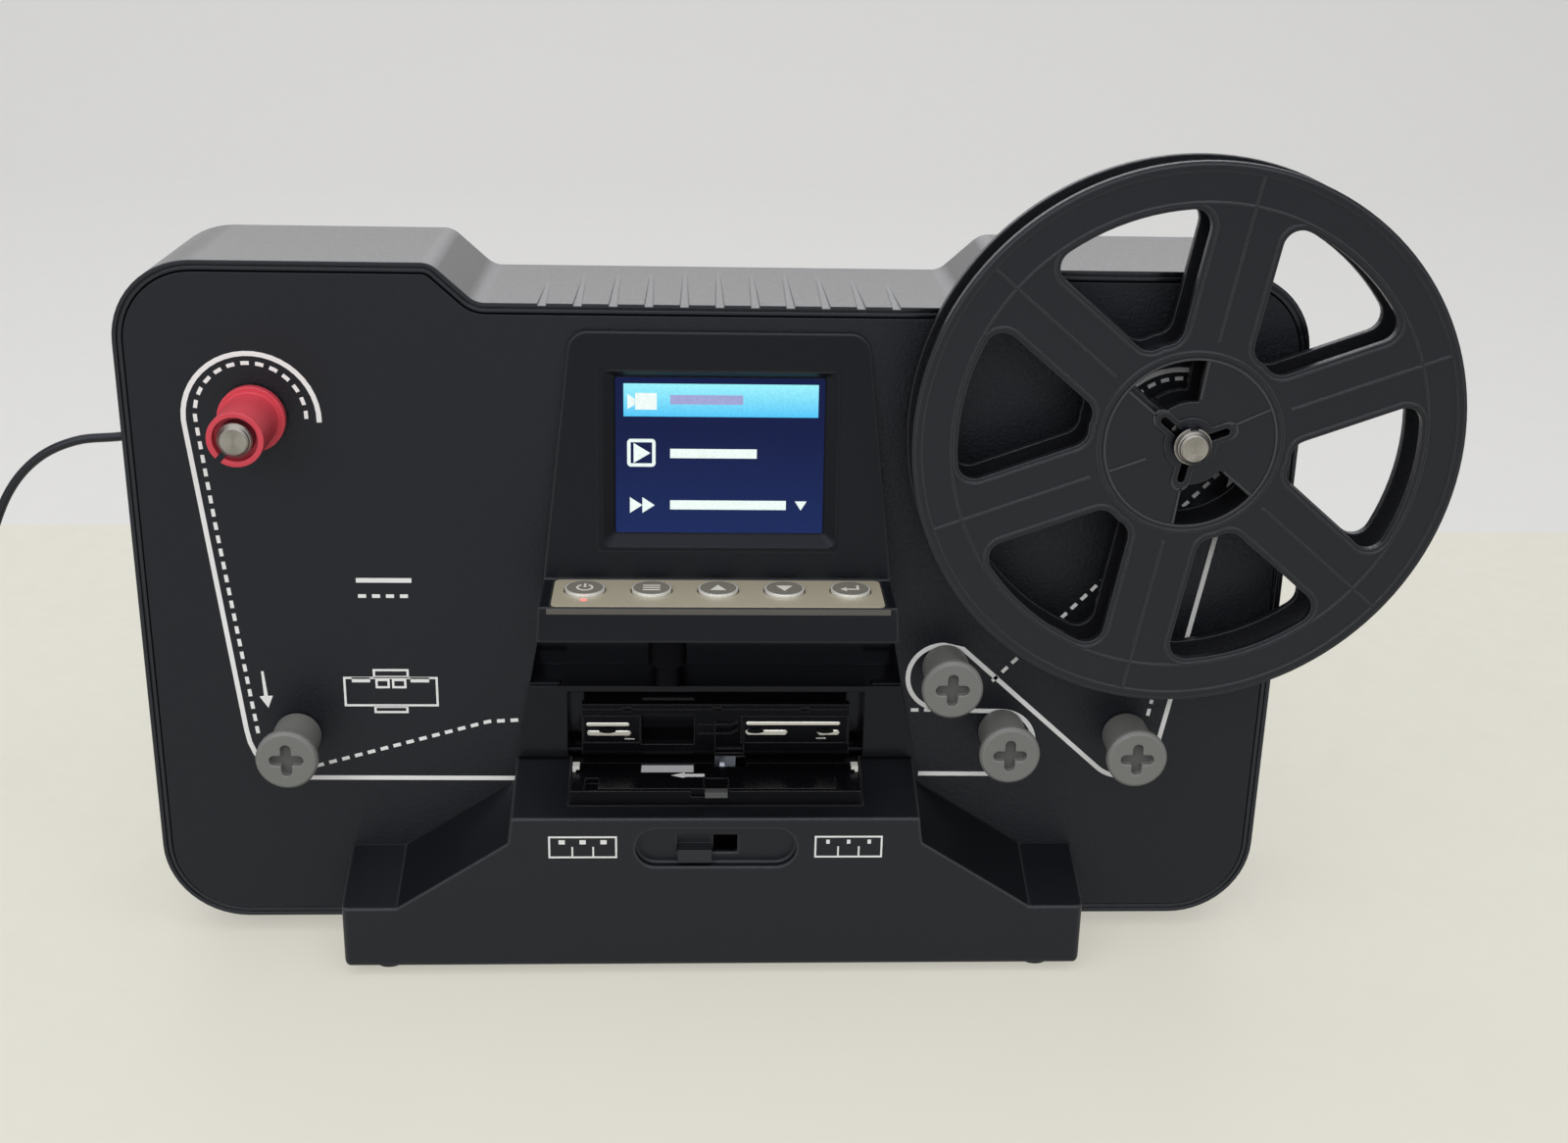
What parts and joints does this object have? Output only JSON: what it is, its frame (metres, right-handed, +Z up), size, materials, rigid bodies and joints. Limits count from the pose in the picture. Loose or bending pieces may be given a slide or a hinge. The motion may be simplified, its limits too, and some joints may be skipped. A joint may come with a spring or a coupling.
{
  "type": "film scanner",
  "caption": "Upright desktop scanner for 8 mm cine film with a tilted screen over an open film gate, guide rollers, a red reel adapter and a spoked take-up reel.",
  "frame": {"origin": "middle of the base plate's underside, level with the front panel's face", "axes": "+X to the right seen from the front, +Y to the back, +Z up"},
  "size_m": [0.4795, 0.1553, 0.1999],
  "materials": {
    "body_black": "fine satin black",
    "panel_black": "smooth black, faint sheen",
    "gate_black": "matt black",
    "screen_glass": "clear window",
    "screen_module": "dark blue screen",
    "champagne": "satin champagne",
    "key_grey": "satin dark grey",
    "led_red": "clear red",
    "board_green": "solder mask",
    "steel": "turned",
    "bronze": "plain",
    "motor_can": "zinc plated",
    "white_plastic": "plain white",
    "diffuser": "milky white",
    "foot_rubber": "plain",
    "knob_grey": "satin",
    "roller_grey": "smooth grey",
    "adapter_red": "smooth red",
    "reel_black": "smooth black",
    "cord_black": "smooth black PVC"
  },
  "bodies": {
    "scanner_body": {"rear_housing": "body_black", "front_panel": "panel_black", "housing_screws": "steel", "console_cover": "body_black", "screen_window": "screen_glass", "screen_module": "screen_module", "key_plate": "champagne", "key_board": "board_green", "indicator_light": "led_red", "camera_board": "board_green", "lens_barrel": "gate_black", "base_stand": "body_black", "base_plate": "gate_black", "rubber_feet": "foot_rubber", "gate_frame": "panel_black", "hinge_pin": "steel", "film_bed": "gate_black", "film_tabs": "white_plastic", "light_diffuser": "diffuser", "light_board": "board_green", "claw_rail": "steel", "advance_motor": "motor_can", "roller_pins": "steel", "spindle_bearings": "bronze", "motor_brackets": "steel", "left_motor": "motor_can", "right_motor": "motor_can", "main_board": "board_green", "power_jack": "gate_black", "usb_socket": "steel", "av_socket": "gate_black", "card_slot": "steel", "power_plug": "cord_black", "power_lead": "cord_black", "power_coil": "cord_black", "wall_adapter": "cord_black"},
    "left_drive": {"left_spindle": "steel", "reel_adapter": "adapter_red", "left_gear": "white_plastic"},
    "left_pinion_shaft": {"left_pinion": "bronze"},
    "right_drive": {"right_spindle": "steel", "reel_front_flange": "reel_black", "reel_rear_flange": "reel_black", "reel_core": "reel_black", "right_gear": "white_plastic"},
    "right_pinion_shaft": {"right_pinion": "bronze"},
    "roller_left": {"roller_left": "roller_grey"},
    "roller_upper": {"roller_upper": "roller_grey"},
    "roller_lower": {"roller_lower": "roller_grey"},
    "roller_right": {"roller_right": "roller_grey"},
    "key_power": {"key_power": "key_grey"},
    "key_menu": {"key_menu": "key_grey"},
    "key_up": {"key_up": "key_grey"},
    "key_down": {"key_down": "key_grey"},
    "key_enter": {"key_enter": "key_grey"},
    "selector": {"selector_knob": "knob_grey"},
    "door": {"gate_door": "gate_black", "pressure_strips": "steel"},
    "latch": {"gate_latch": "knob_grey"},
    "claw": {"film_claw": "white_plastic"}
  },
  "joints": [
    {"name": "left_spindle_spin", "type": "hinge", "parent": "scanner_body", "child": "left_drive", "pos_m": [-0.107, 0, 0.133], "axis": [0, 1, 0], "continuous": true},
    {"name": "left_pinion_spin", "type": "hinge", "parent": "scanner_body", "child": "left_pinion_shaft", "pos_m": [-0.107, 0, 0.11205], "axis": [0, 1, 0], "continuous": true},
    {"name": "right_spindle_spin", "type": "hinge", "parent": "scanner_body", "child": "right_drive", "pos_m": [0.107, 0, 0.133], "axis": [0, 1, 0], "continuous": true},
    {"name": "right_pinion_spin", "type": "hinge", "parent": "scanner_body", "child": "right_pinion_shaft", "pos_m": [0.107, 0, 0.11205], "axis": [0, 1, 0], "continuous": true},
    {"name": "roller_left_spin", "type": "hinge", "parent": "scanner_body", "child": "roller_left", "pos_m": [-0.102, 0, 0.0528], "axis": [0, 1, 0], "continuous": true},
    {"name": "roller_upper_spin", "type": "hinge", "parent": "scanner_body", "child": "roller_upper", "pos_m": [0.056, 0, 0.0712], "axis": [0, 1, 0], "continuous": true},
    {"name": "roller_lower_spin", "type": "hinge", "parent": "scanner_body", "child": "roller_lower", "pos_m": [0.0708, 0, 0.054], "axis": [0, 1, 0], "continuous": true},
    {"name": "roller_right_spin", "type": "hinge", "parent": "scanner_body", "child": "roller_right", "pos_m": [0.1019, 0, 0.053], "axis": [0, 1, 0], "continuous": true},
    {"name": "key_power_press", "type": "slide", "parent": "scanner_body", "child": "key_power", "axis": [0, 0, -1], "range_m": [0, 0.0009], "stiffness_N_per_m": 600},
    {"name": "key_menu_press", "type": "slide", "parent": "scanner_body", "child": "key_menu", "axis": [0, 0, -1], "range_m": [0, 0.0009], "stiffness_N_per_m": 600},
    {"name": "key_up_press", "type": "slide", "parent": "scanner_body", "child": "key_up", "axis": [0, 0, -1], "range_m": [0, 0.0009], "stiffness_N_per_m": 600},
    {"name": "key_down_press", "type": "slide", "parent": "scanner_body", "child": "key_down", "axis": [0, 0, -1], "range_m": [0, 0.0009], "stiffness_N_per_m": 600},
    {"name": "key_enter_press", "type": "slide", "parent": "scanner_body", "child": "key_enter", "axis": [0, 0, -1], "range_m": [0, 0.0009], "stiffness_N_per_m": 600},
    {"name": "selector_slide", "type": "slide", "parent": "scanner_body", "child": "selector", "axis": [1, 0, 0], "range_m": [0, 0.006]},
    {"name": "gate_door_hinge", "type": "hinge", "parent": "scanner_body", "child": "door", "pos_m": [0, 0.0022, 0.0477], "axis": [1, 0, 0], "range_deg": [0, 90]},
    {"name": "gate_latch_slide", "type": "slide", "parent": "scanner_body", "child": "latch", "axis": [-1, 0, 0], "range_m": [0, 0.003]},
    {"name": "film_claw_step", "type": "slide", "parent": "scanner_body", "child": "claw", "axis": [1, 0, 0], "range_m": [0, 0.0042]}
  ],
  "couplings": [
    {"joint": "left_pinion_spin", "follows": "left_spindle_spin", "ratio": -3.3333},
    {"joint": "right_pinion_spin", "follows": "right_spindle_spin", "ratio": -3.3333}
  ]
}
